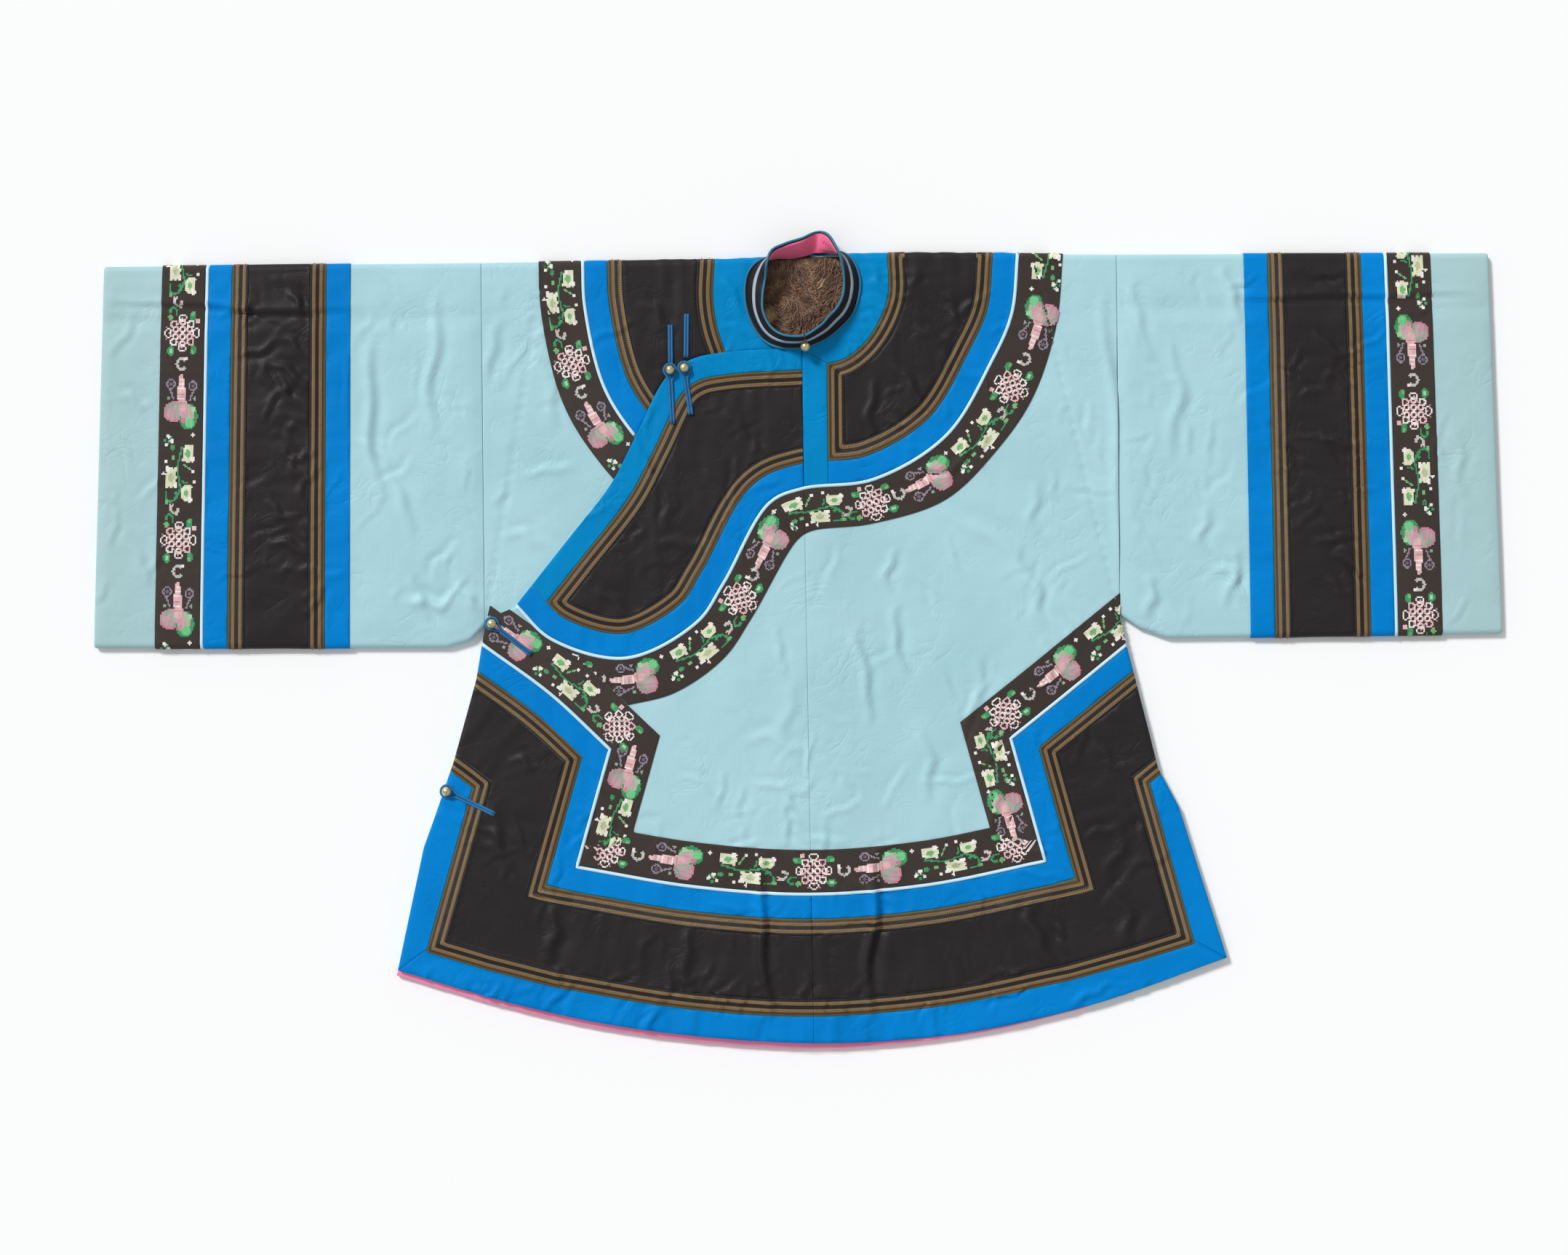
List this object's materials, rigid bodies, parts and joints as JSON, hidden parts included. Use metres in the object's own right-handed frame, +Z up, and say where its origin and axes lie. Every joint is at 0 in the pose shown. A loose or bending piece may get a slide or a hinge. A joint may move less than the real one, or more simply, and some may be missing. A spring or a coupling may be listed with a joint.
{
  "type": "silk jacket",
  "caption": "Chinese woman's side-fastening silk jacket laid flat: wide straight sleeves, low standing collar, flared hem, and bands of satin, ribbon and braid.",
  "frame": {"origin": "middle of the jacket's box, on the surface it lies on", "axes": "+X towards the wearer's left, along the spread sleeves; +Y towards the collar; +Z up, out of the front"},
  "size_m": [1.453, 0.8412, 0.0389],
  "materials": {
    "silk": "pale blue silk damask, satin sheen",
    "blue": "bright blue silk satin",
    "black": "black silk satin",
    "ribbon": "woven silk ribbon with small coloured motifs on dark brown",
    "piping": "pale silk piping",
    "braid": "brown and old-gold braid in lengthwise lines",
    "pink": "rose pink silk",
    "fur": "short brown fur",
    "brass": "polished",
    "loop": "blue silk cord"
  },
  "bodies": {
    "root": {"right_length": "silk", "left_length": "silk", "overlap_front": "silk", "right_sleeve": "silk", "left_sleeve": "silk", "right_sleeve_ribbon": "ribbon", "right_sleeve_outer_blue": "blue", "right_sleeve_outer_braid": "braid", "right_sleeve_black": "black", "right_sleeve_inner_braid": "braid", "right_sleeve_inner_blue": "blue", "left_sleeve_ribbon": "ribbon", "left_sleeve_outer_blue": "blue", "left_sleeve_outer_braid": "braid", "left_sleeve_black": "black", "left_sleeve_inner_braid": "braid", "left_sleeve_inner_blue": "blue", "right_yoke_ribbon": "ribbon", "right_yoke_piping": "piping", "right_yoke_blue": "blue", "right_yoke_braid": "braid", "right_yoke_black": "black", "right_yoke_neck_braid": "braid", "right_yoke_neck_blue": "blue", "yoke_ribbon": "ribbon", "yoke_piping": "piping", "left_yoke_blue": "blue", "overlap_blue": "blue", "left_neck_blue": "blue", "centre_band": "blue", "overlap_edge_blue": "blue", "overlap_braid": "braid", "overlap_black": "black", "left_yoke_braid": "braid", "left_yoke_black": "black", "skirt_ribbon": "ribbon", "skirt_piping": "piping", "skirt_blue": "blue", "skirt_braid": "braid", "skirt_black": "black", "skirt_outer_braid": "braid", "skirt_right_edge": "blue", "skirt_left_edge": "blue", "skirt_hem_edge": "blue", "hem_lining": "pink", "collar_band": "black", "collar_stripe": "piping", "collar_facing": "pink", "fur_lining": "fur", "collar_button": "brass", "outer_shoulder_button": "brass", "outer_shoulder_tail": "loop", "outer_shoulder_loop": "loop", "inner_shoulder_button": "brass", "inner_shoulder_tail": "loop", "inner_shoulder_loop": "loop", "underarm_button": "brass", "underarm_loop": "loop", "slit_button": "brass", "slit_loop": "loop"}
  },
  "joints": []
}
